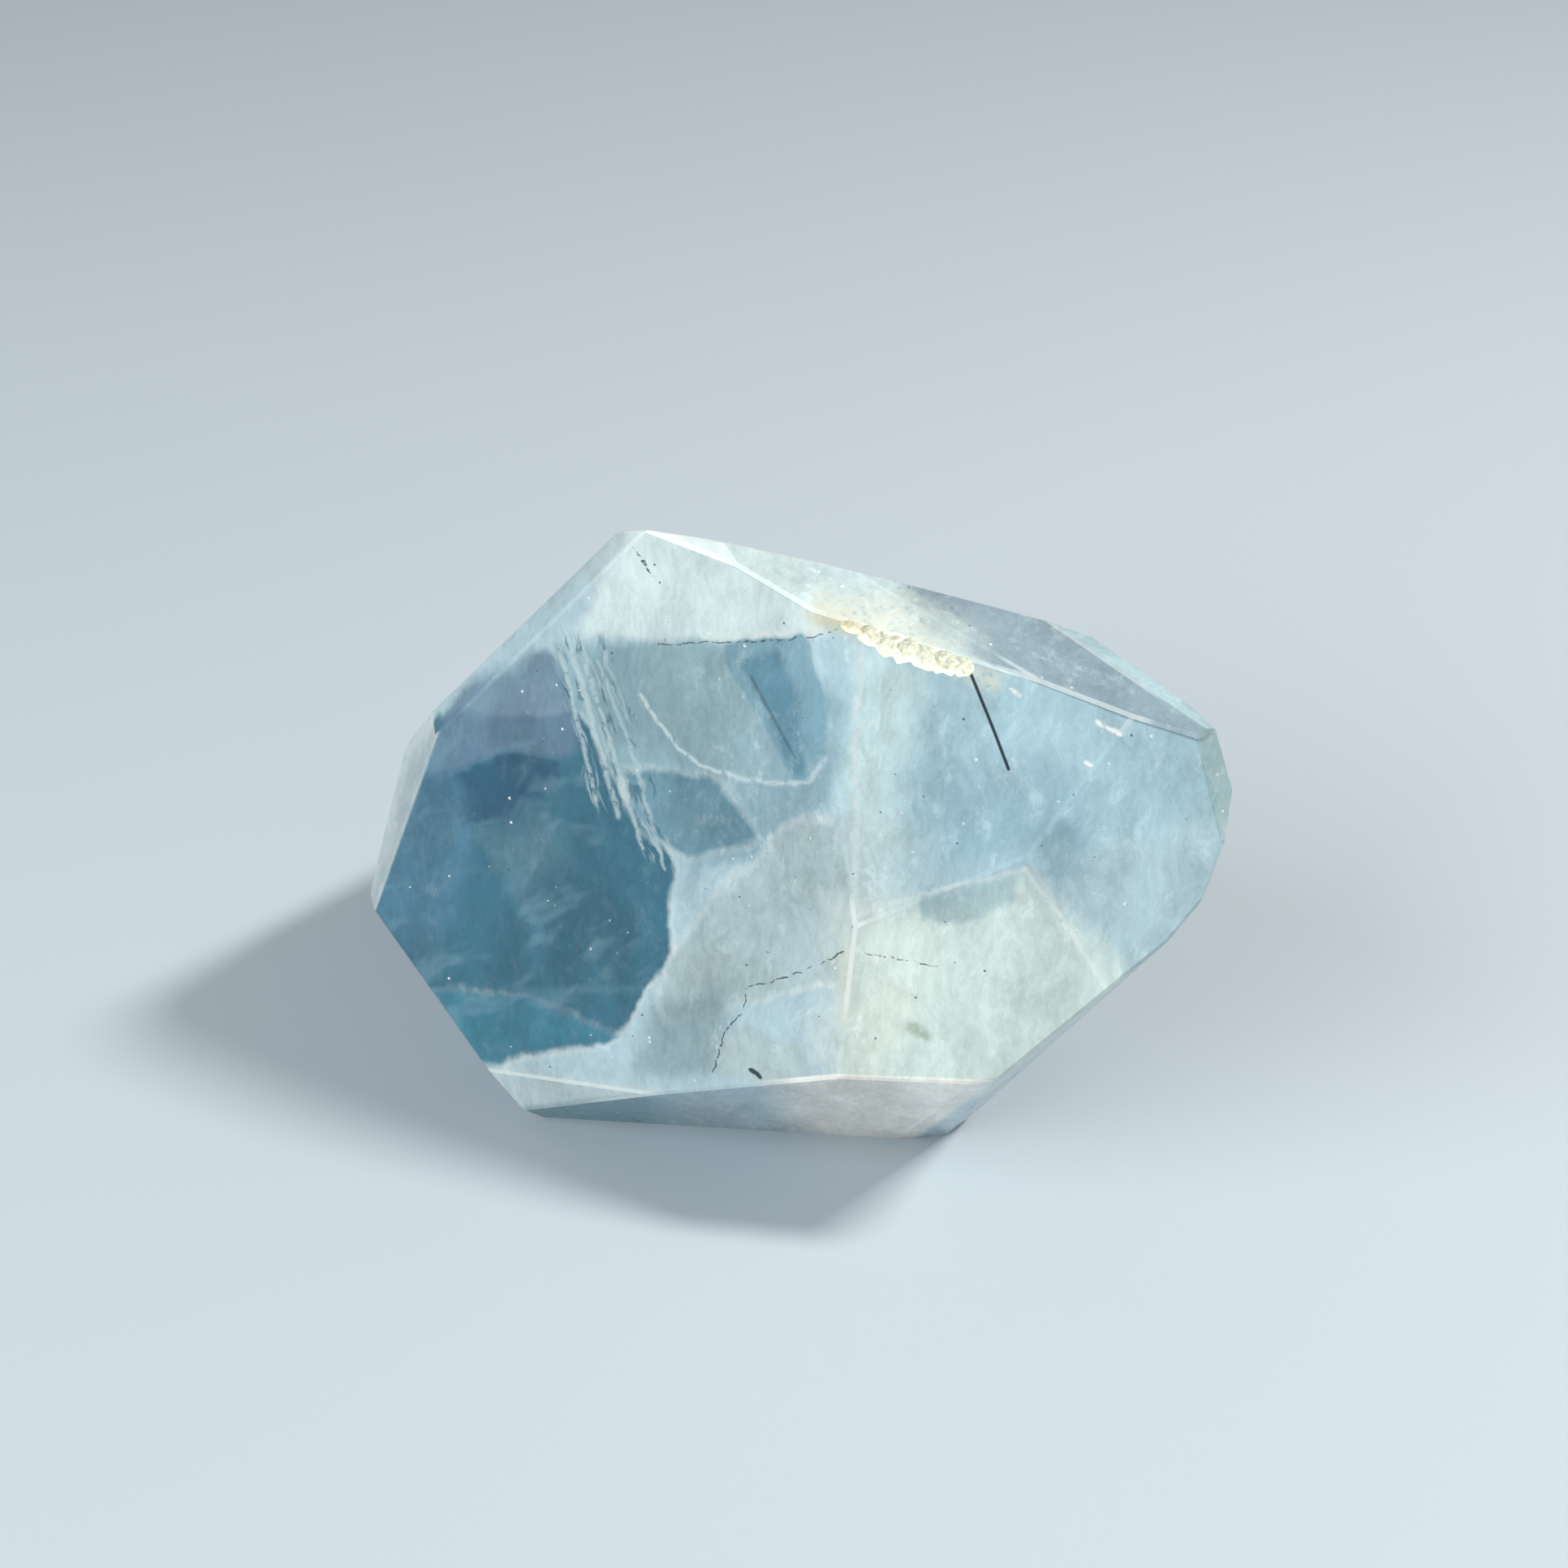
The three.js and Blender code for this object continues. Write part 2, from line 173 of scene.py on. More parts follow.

# Colour zones run through the stone from front to back, so they are outlined in X and Z.
# One with a facet normal and distance lies only on that facet, and several of those are painted
# light or shade.
zones = [
    {
        "name": "grey blue body, upper right",
        "outline": [
            (3.0, 44.0), (31.0, 41.0), (31.0, 26.0), (18.4, 29.0), (8.0, 24.8), (5.6, 33.0),
        ],
        "hex": "#abcfdc",
        "strength": 0.7,
        "soft": 1.2,
    },
    {
        "name": "blue drift in the right facet",
        "outline": [(11.6, 34.6), (20.0, 36.0), (22.4, 31.0), (18.4, 29.4), (12.0, 27.6)],
        "hex": "#8bb0c0",
        "strength": 0.6,
        "soft": 2.0,
    },
    {
        "name": "streaky blue above the pale middle",
        "outline": [
            (-4.4, 23.6), (1.2, 27.0), (6.0, 31.4), (6.4, 38.0), (3.0, 40.0), (-1.0, 31.0),
        ],
        "hex": "#84a8b6",
        "strength": 0.75,
        "soft": 0.8,
    },
    {
        "name": "pale lower middle",
        "outline": [
            (-4.1, 24.5), (1.1, 27.6), (5.5, 31.6), (9.5, 24.0), (9.5, 12.0), (-19.0, 1.5),
            (-18.6, 4.2), (-9.0, 10.2), (-4.6, 17.7),
        ],
        "hex": "#b0c7cc",
        "strength": 0.88,
        "soft": 0.3,
        "rim": 0.9,
    },
    {
        "name": "pale green lower right",
        "outline": [(8.4, 24.4), (18.4, 28.6), (25.5, 22.8), (18.5, 10.0), (7.4, 11.0)],
        "hex": "#dbeee8",
        "strength": 0.8,
        "soft": 1.0,
    },
    {
        "name": "milk along the middle edge",
        "outline": [
            (6.0, 26.0), (9.5, 27.0), (14.5, 24.4), (13.5, 19.0), (11.0, 13.0), (6.5, 13.0),
        ],
        "hex": "#e6f1e8",
        "strength": 0.5,
        "soft": 1.6,
    },
    {
        "name": "grey drift beside the deep blue",
        "outline": [
            (-4.9, 19.5), (-1.5, 19.0), (0.2, 14.0), (-1.0, 9.6), (-10.0, 7.0), (-15.0, 5.0),
            (-9.5, 9.8), (-6.4, 13.4),
        ],
        "hex": "#8ba6ae",
        "strength": 0.8,
        "soft": 1.1,
    },
    {
        "name": "pale lens at the foot",
        "outline": [(-0.6, 13.4), (2.0, 15.2), (5.0, 15.0), (6.4, 11.8), (-0.8, 10.2)],
        "hex": "#afc2c5",
        "strength": 0.7,
        "soft": 0.3,
    },
    {
        "name": "haze right of the middle edge",
        "outline": [
            (5.4, 42.2), (11.0, 41.0), (11.0, 32.0), (10.2, 26.2), (7.6, 26.0), (6.6, 31.0),
        ],
        "hex": "#d2e8ea",
        "strength": 0.6,
        "soft": 1.5,
    },
    {
        "name": "white crown",
        "outline": [
            (-12.8, 37.0), (-8.8, 46.0), (-2.0, 46.5), (3.2, 43.4), (4.6, 42.0), (-0.6, 40.2),
            (-6.9, 38.4),
        ],
        "hex": "#d6e9ea",
        "strength": 0.9,
        "soft": 0.5,
        "rim": 0.3,
    },
    {
        "name": "clear blue under the crown",
        "outline": [
            (-14.6, 36.2), (-6.9, 38.6), (-2.2, 39.8), (3.4, 32.4), (-1.0, 30.8), (-4.8, 24.2),
            (-10.2, 26.4), (-13.8, 31.2),
        ],
        "hex": "#84a8b4",
        "strength": 0.8,
        "soft": 0.7,
    },
    {
        "name": "deep blue left",
        "outline": [
            (-29.8, 12.0), (-27.5, 18.5), (-24.5, 27.8), (-12.6, 32.2), (-8.6, 28.0),
            (-4.9, 24.3), (-4.7, 17.2), (-6.4, 13.6), (-9.0, 10.0), (-19.2, 3.7),
        ],
        "hex": "#21647c",
        "strength": 0.95,
        "soft": 0.32,
        "rim": 0.8,
    },
    {
        "name": "lavender blue shoulder",
        "outline": [
            (-24.8, 27.0), (-21.6, 30.1), (-16.5, 36.0), (-14.4, 35.8), (-12.4, 31.4),
            (-13.2, 28.6), (-19.3, 26.3), (-25.2, 24.0),
        ],
        "hex": "#64819a",
        "strength": 0.85,
        "soft": 0.7,
    },
    {
        "name": "dark window",
        "outline": [
            (-24.4, 24.4), (-19.3, 26.4), (-14.0, 28.6), (-13.4, 26.6), (-17.6, 23.0),
            (-23.4, 20.5),
        ],
        "hex": "#215270",
        "strength": 0.75,
        "soft": 0.25,
    },
    {
        "name": "dusk along the left edge",
        "outline": [
            (-29.6, 12.4), (-27.4, 18.6), (-24.6, 26.6), (-21.6, 25.0), (-20.5, 20.0),
            (-21.8, 12.8), (-26.0, 10.6),
        ],
        "hex": "#5584a0",
        "strength": 0.6,
        "soft": 1.0,
    },
    {
        "name": "smoky patch in the deep blue",
        "outline": [(-20.5, 20.5), (-15.5, 24.5), (-12.5, 23.0), (-17.0, 17.0)],
        "hex": "#6c96a8",
        "strength": 0.5,
        "soft": 1.6,
    },
    {
        "name": "teal heel",
        "outline": [
            (-25.6, 10.2), (-21.0, 10.6), (-16.8, 10.7), (-6.5, 14.8), (-6.0, 13.4),
            (-9.0, 10.0), (-18.9, 4.0),
        ],
        "hex": "#3a7d94",
        "strength": 0.85,
        "soft": 0.35,
        "rim": 0.25,
    },
    {
        "name": "middle blue",
        "outline": [
            (-7.0, 33.6), (-4.0, 31.6), (-1.0, 31.2), (3.5, 32.3), (2.0, 29.4), (-1.3, 26.3),
            (-4.3, 24.6), (-7.2, 25.4), (-9.2, 29.5), (-8.3, 32.6),
        ],
        "hex": "#5a899c",
        "strength": 0.85,
        "soft": 0.4,
        "rim": 0.6,
    },
    {
        "name": "pale shelf above the curved break",
        "outline": [
            (-7.6, 38.2), (-2.3, 39.6), (-1.5, 38.0), (1.2, 35.2), (3.4, 32.4), (-1.2, 31.3),
            (-3.5, 31.4), (-5.0, 32.1), (-6.6, 33.4), (-7.9, 34.6),
        ],
        "hex": "#94b3bc",
        "strength": 0.8,
        "soft": 0.22,
        "rim": 0.2,
    },
    {
        "name": "blue wedge",
        "outline": [
            (-2.3, 39.7), (3.4, 41.6), (4.6, 38.7), (5.2, 36.4), (5.2, 34.4), (4.4, 32.8),
            (3.3, 32.2), (1.0, 35.0), (-1.7, 38.0),
        ],
        "hex": "#7aa3b4",
        "strength": 0.9,
        "soft": 0.22,
    },
    {
        "name": "dark side of the wedge",
        "outline": [(-1.2, 38.9), (1.6, 40.2), (4.2, 34.6), (3.8, 32.8), (2.6, 33.6)],
        "hex": "#4f8299",
        "strength": 0.7,
        "soft": 0.45,
    },
    {
        "name": "blue band under the middle line",
        "outline": [(11.8, 26.6), (17.8, 28.6), (18.3, 26.8), (14.6, 25.3), (11.8, 25.4)],
        "hex": "#93b3bd",
        "strength": 0.6,
        "soft": 0.45,
    },
    {
        "name": "blue flame in the cheek",
        "outline": [(18.9, 30.8), (21.0, 33.6), (22.4, 28.4), (20.0, 27.8)],
        "hex": "#8cb0bf",
        "strength": 0.6,
        "soft": 0.7,
    },
    # Grey painted on the clear top right facet: the shaded backdrop seen through it, not the stone's
    # own colour.
    {
        "name": "painted backdrop grey on the clear top right facet",
        "outline": [(7.0, 34.0), (31.0, 34.0), (31.0, 46.0), (7.0, 46.0)],
        "hex": "#7c92a1",
        "strength": 0.85,
        "soft": 2.5,
        "facetNormal": (0.2585, 0.0135, 0.9659),
        "facetDistance": 43.3,
    },
    {
        "name": "hazy top left",
        "outline": [(-12.0, 48.0), (14.0, 46.0), (14.0, 39.0), (-12.0, 40.0)],
        "hex": "#adc3c9",
        "strength": 0.7,
        "soft": 1.5,
        "facetNormal": (0.1947, -0.1705, 0.9659),
        "facetDistance": 44.05,
    },
    # Pale painted on the thin left rim facet: the bright backdrop seen through it.
    {
        "name": "painted bright backdrop on the left rim facet",
        "outline": [(-31.0, 11.0), (-31.0, 25.0), (-25.0, 30.0), (-22.0, 28.0), (-27.0, 11.0)],
        "hex": "#bcc8cd",
        "strength": 0.8,
        "soft": 0.6,
        "facetNormal": (-0.750, -0.555, 0.360),
        "facetDistance": 31.8,
    },
    # Near white painted on the right of the underside: a glow of light passing through the stone.
    {
        "name": "painted glow on the underside, right",
        "outline": [(2.0, 18.0), (24.0, 18.0), (24.0, -4.0), (2.0, -4.0)],
        "hex": "#fdfdf6",
        "strength": 0.95,
        "soft": 3.5,
        "facetNormal": (0.162, -0.826, -0.540),
        "facetDistance": 9.6,
    },
    # Darker blue painted on the left of the underside: the body's blue with painted shade under the
    # overhang.
    {
        "name": "painted shade on the underside, left",
        "outline": [(-22.0, 7.0), (-5.0, 7.5), (-6.0, -2.0), (-20.0, -2.0)],
        "hex": "#68a0ae",
        "strength": 0.85,
        "soft": 3.0,
        "facetNormal": (0.162, -0.826, -0.540),
        "facetDistance": 9.6,
    },
    {
        "name": "green right rim facet",
        "outline": [(26.0, 40.0), (31.0, 40.0), (31.0, 28.0), (27.0, 28.0)],
        "hex": "#7e9a9b",
        "strength": 0.5,
        "soft": 0.5,
        "facetNormal": (0.884, -0.270, 0.381),
        "facetDistance": 41.2,
    },
    # Pale painted on the heel bevel as its highlight.
    {
        "name": "painted highlight on the heel bevel",
        "outline": [(-20.5, 1.0), (-20.5, 6.0), (-4.0, 9.4), (-3.0, 7.0), (-15.0, 0.5)],
        "hex": "#c6d8dc",
        "strength": 0.6,
        "soft": 0.8,
        "facetNormal": (-0.179, -0.984, 0.021),
        "facetDistance": 18.5,
    },
]

# Healed cracks and white veils, and painted highlights along edges and as glints, each a run of
# points with a width.
veilsAndHighlights = [
    {"width": 0.32, "hex": "#c4d8dc", "strength": 0.7, "run": [(-14.0, 35.9), (-10.8, 26.7)]},
    {"width": 0.42, "hex": "#c4d8dc", "strength": 0.7, "run": [(-13.1, 36.1), (-9.1, 26.1)]},
    {"width": 0.3, "hex": "#c4d8dc", "strength": 0.65, "run": [(-12.3, 36.1), (-7.2, 24.5)]},
    {
        "width": 0.28, "hex": "#bcd3da", "strength": 0.6,
        "run": [(-11.1, 35.9), (-8.6, 31.2), (-5.5, 23.7)],
    },
    {
        "width": 0.6, "hex": "#5f8fa3", "strength": 0.4,
        "run": [(-16.8, 10.5), (-11.4, 12.9), (-6.7, 14.7)],
    },
    {
        "width": 0.26, "hex": "#d6e6e8", "strength": 0.75,
        "run": [(-7.9, 34.6), (-6.6, 33.3), (-5.0, 32.0), (-3.5, 31.3), (-1.2, 31.3)],
    },
    {
        "width": 0.3, "hex": "#d3e3e6", "strength": 0.7,
        "run": [(-1.2, 31.3), (1.4, 31.6), (3.3, 32.2)],
    },
    {
        "width": 0.3, "hex": "#cfe0e5", "strength": 0.6,
        "run": [(3.3, 32.2), (4.4, 32.8), (5.2, 34.4)],
    },
    {
        "width": 0.35, "hex": "#e6efec", "strength": 0.7,
        "run": [(-3.7, 39.6), (0.0, 40.7), (4.2, 42.2)],
    },
    {
        "width": 1.1, "hex": "#eeeedd", "strength": 0.6,
        "run": [(3.5, 43.0), (8.0, 42.4), (15.0, 40.2)],
    },
    {"width": 0.8, "hex": "#d3c391", "strength": 0.45, "run": [(3.9, 42.9), (5.8, 42.4)]},
    # The next three are not veils but pale lines painted along facet edges as their highlights.
    {
        "width": 0.4, "hex": "#dbe8ea", "strength": 0.55,
        "run": [(6.8, 41.2), (6.9, 37.0), (7.6, 31.0), (8.0, 25.0)],
    },
    {
        "width": 0.28, "hex": "#dfeaea", "strength": 0.5,
        "run": [(8.2, 25.0), (13.0, 27.2), (18.3, 29.1)],
    },
    {
        "width": 0.3, "hex": "#e6efee", "strength": 0.5,
        "run": [(18.3, 29.1), (20.6, 26.2), (24.2, 21.5)],
    },
    {"width": 1.0, "hex": "#e2e7d2", "strength": 0.5, "run": [(8.0, 23.0), (8.0, 18.0)]},
    {"width": 0.7, "hex": "#8fa08a", "strength": 0.6, "run": [(12.4, 17.9), (13.2, 17.3)]},
    # The last three are not veils but painted glints: tiny white highlights.
    {"width": 0.2, "hex": "#ffffff", "strength": 1.0, "run": [(16.1, 39.8), (16.6, 39.6)]},
    {"width": 0.22, "hex": "#ffffff", "strength": 1.0, "run": [(21.4, 38.5), (22.9, 37.9)]},
    {"width": 0.2, "hex": "#ffffff", "strength": 1.0, "run": [(21.1, 36.0), (21.4, 35.9)]},
]

# Families of parallel healed cracks: where they are, the way they run, how many there are
# per millimetre, and the fade that cuts the noise to thin bands. Two share the veil's outline.
veilOutline = [
    (-15.4, 36.8), (-10.0, 37.6), (-7.6, 31.5), (-4.4, 23.6), (-7.8, 23.8), (-11.6, 27.0),
    (-13.9, 32.0),
]
streakFamilies = [
    {
        "outline": veilOutline,
        "along": (0.45, -0.89),
        "perMm": 1.5,
        "stretch": 0.16,
        "bands": (0.53, 0.63, 0.0, 1.0),
        "soft": 0.5,
        "hex": "#b9cdd3",
        "strength": 0.6,
    },
    {
        "outline": veilOutline,
        "along": (0.42, -0.91),
        "perMm": 2.1,
        "stretch": 0.2,
        "bands": (0.56, 0.66, 0.0, 1.0),
        "soft": 0.5,
        "hex": "#34657b",
        "strength": 0.7,
    },
    {
        "outline": [
            (-25.0, 27.5), (-14.0, 36.5), (-9.0, 24.0), (-5.0, 16.0), (-20.0, 4.0), (-29.0, 13.0),
        ],
        "along": (0.75, 0.66),
        "perMm": 0.5,
        "stretch": 0.35,
        "bands": (0.5, 0.72, 0.0, 1.0),
        "soft": 1.5,
        "hex": "#7fa6b8",
        "strength": 0.4,
    },
]

# Dark specks and bright glints: the size of the dots, and which of the cells have one.
specks = [
    {"hex": "#3c5158", "dot": (0.05, 0.09, 0.8, 0.0), "cells": (0.5, 0.56, 0.0, 1.0)},
    {"hex": "#f3f8f7", "dot": (0.06, 0.11, 0.9, 0.0), "cells": (0.42, 0.47, 1.0, 0.0)},
]

# Dark cracks and needles. The more one is dotted, the more of it is missing.
darkMarks = [
    {
        "width": 0.06, "strength": 0.75, "dotted": 0.46,
        "run": [(-6.9, 38.2), (-3.8, 39.2), (-0.6, 40.1), (4.0, 41.8), (5.9, 42.6)],
    },
    {
        "width": 0.07, "strength": 0.8, "dotted": 0.47,
        "run": [(7.6, 22.4), (4.9, 20.0), (1.1, 17.6), (0.9, 15.9), (-0.3, 13.9), (-1.0, 10.7)],
    },
    {
        "width": 0.06, "strength": 0.75, "dotted": 0.5,
        "run": [(8.9, 22.6), (10.4, 22.4), (13.5, 22.1)],
    },
    {
        "width": 0.14, "strength": 0.95, "dotted": 0.1,
        "run": [(13.5, 40.6), (14.9, 38.1), (15.5, 37.0), (16.5, 35.1)],
    },
    {
        "width": 0.15, "strength": 0.9, "dotted": 0.5,
        "run": [(-9.2, 44.2), (-8.4, 43.3), (-7.6, 42.5)],
    },
    {"width": 0.22, "strength": 0.95, "dotted": 0.2, "run": [(1.8, 11.9), (2.5, 11.7)]},
    {"width": 0.16, "strength": 0.35, "dotted": 0.0, "run": [(-0.2, 38.0), (3.2, 33.8)]},
]


# Noise drawn out along one direction of the X and Z plane, cut to thin soft bands.
def streaks(tree, place, family):
    along = Vector(family["along"]).normalized()
    across = (along.y, 0.0, -along.x)
    lengthways = (along.x, bodyValues["streakLean"], along.y)
    u = addNode(tree, "VectorMath", (place, across), output=1, operation="DOT_PRODUCT")
    v = addNode(tree, "VectorMath", (place, lengthways), output=1, operation="DOT_PRODUCT")
    v = addNode(tree, "Math", (v, family["stretch"]), operation="MULTIPLY")
    drawn = addNode(tree, "CombineXYZ", (u, v, 0.0))
    inputs = {"Vector": drawn, "Scale": family["perMm"], **bodyValues["streakNoise"]}
    bands = addNode(tree, "TexNoise", inputs)
    return addNode(tree, "MapRange", (bands, *family["bands"]), **softStep)


# The soft clouds and zones of colour, which every side of the stone has; the front also gets the
# facet zones, some of them painted light or shade.
def zoneColor(tree, place, soft, spreadX, spreadZ, detailed):
    values = bodyValues
    height = addNode(tree, "SeparateXYZ", (soft,), output=2)
    stretched = addNode(tree, "VectorMath", (soft, values["wispStretch"]), operation="MULTIPLY")
    wisps = addNode(tree, "TexNoise", {"Vector": stretched, **values["wispNoise"]})
    wisps = addNode(tree, "MapRange", (wisps, *values["wispFade"]), **softStep)
    top = addNode(tree, "MapRange", (height, *values["topFade"]), **softStep)
    color = layOver(tree, linearFromHex(values["iceHex"]), top, values["iceTopHex"])
    rimBreaks = addNode(tree, "Math", (wisps, *values["rimShare"]), operation="MULTIPLY_ADD")
    for zone in zones:
        onFacet = "facetNormal" in zone
        small = outlineArea(zone["outline"]) < values["leastBackArea"]
        if not detailed and (onFacet or small):
            continue
        margin = max(zone["soft"], values["leastMargin"])
        reach = zoneReach(tree, spreadX, spreadZ, zone["outline"], margin)
        fade = (reach, margin - zone["soft"], margin + zone["soft"], zone["strength"], 0.0)
        mask = addNode(tree, "MapRange", fade, **softStep)
        if onFacet:
            inputs = (place, zone["facetNormal"])
            outward = addNode(tree, "VectorMath", inputs, output=1, operation="DOT_PRODUCT")
            start = zone["facetDistance"]
            fade = (outward, start, start + values["skinDepth"], 0.0, 1.0)
            skin = addNode(tree, "MapRange", fade, **softStep)
            mask = addNode(tree, "Math", (mask, skin), operation="MULTIPLY")
        color = layOver(tree, color, mask, zone["hex"])
        if detailed and "rim" in zone:
            away = addNode(tree, "Math", (reach, margin + values["rimPlace"]), operation="SUBTRACT")
            away = addNode(tree, "Math", (away,), operation="ABSOLUTE")
            fade = (away, 0.0, values["rimWidth"], zone["rim"], 0.0)
            rim = addNode(tree, "MapRange", fade, **softStep)
            rim = addNode(tree, "Math", (rim, rimBreaks), operation="MULTIPLY")
            color = layOver(tree, color, rim, values["cloudHex"])
    broad = addNode(tree, "TexNoise", {"Vector": stretched, **values["broadNoise"]})
    fibre = addNode(tree, "VectorMath", (soft, values["fibreStretch"]), operation="MULTIPLY")
    grain = addNode(tree, "TexNoise", {"Vector": fibre, **values["fibreNoise"]})
    broad = addNode(tree, "MapRange", (broad, *values["broadShade"]), **softStep)
    fine = addNode(tree, "MapRange", (grain, *values["fibreShade"]), **softStep)
    shade = addNode(tree, "Math", (broad, fine), operation="ADD")
    shade = addNode(tree, "Math", (shade, 1.0), operation="ADD")
    color = addNode(tree, "VectorMath", {0: color, "Scale": shade}, operation="SCALE")
    alongX = addNode(tree, "SeparateXYZ", (place,))
    milk = addNode(tree, "MapRange", (alongX, *values["cloudFade"]), **softStep)
    cloud = addNode(tree, "Math", (wisps, milk), operation="MULTIPLY")
    return layOver(tree, color, cloud, values["cloudHex"]), cloud, grain


# The streaks, veils, painted edge highlights and glints, specks and dark cracks, which only the
# front has.
def fineMarks(tree, place, soft, quick, spreadX, spreadZ, color):
    values = bodyValues
    straight = addNode(tree, "VectorMath", (place, onlyXZ), operation="MULTIPLY")
    inputs = (quick, values["lineBend"], straight)
    bent = addNode(tree, "VectorMath", inputs, operation="MULTIPLY_ADD")
    for family in streakFamilies:
        reach = zoneReach(tree, spreadX, spreadZ, family["outline"], family["soft"])
        fade = (reach, 0.0, family["soft"] * 2, family["strength"], 0.0)
        mask = addNode(tree, "MapRange", fade, **softStep)
        bands = streaks(tree, soft, family)
        mask = addNode(tree, "Math", (mask, bands), operation="MULTIPLY")
        color = layOver(tree, color, mask, family["hex"])
    dots = addNode(tree, "TexNoise", {"Vector": place, **values["dotNoise"]})
    depth = addNode(tree, "SeparateXYZ", (place,), output=1)
    facing = addNode(tree, "MapRange", (depth, *values["frontFade"]), **softStep)
    broken = addNode(tree, "MapRange", (dots, *values["veilAndHighlightBreaks"]), **softStep)
    broken = addNode(tree, "Math", (broken, facing), operation="MULTIPLY")
    for veilOrHighlight in veilsAndHighlights:
        away = runDistance(tree, bent, veilOrHighlight["run"])
        fade = (away, 0.0, veilOrHighlight["width"], veilOrHighlight["strength"], 0.0)
        mask = addNode(tree, "MapRange", fade, **softStep)
        mask = addNode(tree, "Math", (mask, broken), operation="MULTIPLY")
        color = layOver(tree, color, mask, veilOrHighlight["hex"])
    cells = addNode(tree, "TexVoronoi", {"Vector": place, **values["speckCells"]})
    for speck in specks:
        dot = addNode(tree, "MapRange", (cells, *speck["dot"]), **softStep)
        some = addNode(tree, "MapRange", (dots, *speck["cells"]), **softStep)
        mask = addNode(tree, "Math", (dot, some), operation="MULTIPLY")
        color = layOver(tree, color, mask, speck["hex"])
    for mark in darkMarks:
        dotted, width = mark["dotted"], mark["width"]
        away = runDistance(tree, straight if dotted < values["straightBelow"] else bent, mark["run"])
        fade = (dots, dotted - values["gapSoftness"], dotted + values["gapSoftness"], 0.0, 1.0)
        gaps = addNode(tree, "MapRange", fade, **softStep)
        fade = (away, width * values["markCore"], width, mark["strength"], 0.0)
        mask = addNode(tree, "MapRange", fade, **softStep)
        gaps = addNode(tree, "Math", (gaps, facing), operation="MULTIPLY")
        mask = addNode(tree, "Math", (mask, gaps), operation="MULTIPLY")
        color = layOver(tree, color, mask, values["markHex"])
    return color


# Body colour as a node group. The detailed one is for the front and also holds painted light and
# shade; the plain one is for the back, which renders faster.
def fluoriteGroup(name, detailed):
    tree = bpy.data.node_groups.new(name, "ShaderNodeTree")
    tree.interface.new_socket("Place", in_out="INPUT", socket_type="NodeSocketVector")
    for label, kind in (("Color", "Color"), ("Cloud", "Float"), ("Grain", "Float")):
        tree.interface.new_socket(label, in_out="OUTPUT", socket_type="NodeSocket" + kind)
    place = tree.nodes.new("NodeGroupInput").outputs[0]
    output = tree.nodes.new("NodeGroupOutput")
    slow = wobble(tree, place, bodyValues["slowNoise"])
    quick = wobble(tree, place, bodyValues["quickNoise"])
    inputs = (slow, bodyValues["slowBend"], place)
    soft = addNode(tree, "VectorMath", inputs, operation="MULTIPLY_ADD")
    inputs = (quick, bodyValues["quickBend"], soft)
    soft = addNode(tree, "VectorMath", inputs, operation="MULTIPLY_ADD")
    spreadX = spreadAxis(tree, soft, 0)
    spreadZ = spreadAxis(tree, soft, 2)
    color, cloud, grain = zoneColor(tree, place, soft, spreadX, spreadZ, detailed)
    if detailed:
        color = fineMarks(tree, place, soft, quick, spreadX, spreadZ, color)
    for index, socket in enumerate((color, cloud, grain)):
        tree.links.new(socket, output.inputs[index])
    return tree


def newMaterial(name):
    material = bpy.data.materials.new(name)
    material.use_nodes = True
    material.node_tree.nodes.clear()
    return material, material.node_tree


polishValues = {
    "ior": 1.434,  # that of fluorite
    "clearFade": (0.0, 0.3, 0.34, 0.18),  # the cloudier, the less light passes
    "roughnessFade": (0.45, 0.75, 0.12, 0.28),
    "absorbHex": "#7fb0cc",
    "absorbDensity": 22.0,
}


# Light that passes through the stone turns bluer with the way it has gone.
def blueDepth(tree):
    inputs = {
        "Color": linearFromHex(polishValues["absorbHex"]),
        "Density": polishValues["absorbDensity"],
    }
    return addNode(tree, "VolumeAbsorption", inputs)


# Polished fluorite with milk in it: the part of the light that passes through gives depth,
# and the milky rest looks soft and pale.
def fluoriteMaterial(name, group):
    material, tree = newMaterial(name)
    place = stonePlace(tree)
    color, cloud, grain = addNode(tree, "Group", (place,), node_tree=group).node.outputs
    clear = addNode(tree, "MapRange", (cloud, *polishValues["clearFade"]), **softStep)
    roughness = addNode(tree, "MapRange", (grain, *polishValues["roughnessFade"]), **softStep)
    inputs = {
        "Base Color": color,
        "Roughness": roughness,
        "IOR": polishValues["ior"],
        "Transmission Weight": clear,
    }
    surface = addNode(tree, "BsdfPrincipled", inputs)
    addNode(tree, "OutputMaterial", {"Surface": surface, "Volume": blueDepth(tree)})
    return material


chipValues = {
    "creamHex": "#e4e8da",
    "ochreHex": "#cfd0b4",
    "grainNoise": {"Scale": 4.5, "Detail": 3.0, "Roughness": 0.6},
    "grainFade": (0.42, 0.6, 0.0, 1.0),
    "stainHex": "#b9a878",
    "stainFade": (5.5, 8.5, 0.4, 0.0),  # along X, so only the left end is stained
    "bumpNoise": {"Scale": 7.0, "Detail": 3.0, "Roughness": 0.6},
    "bump": {"Strength": 0.4, "Distance": 0.0002},
    "roughness": 0.5,
}


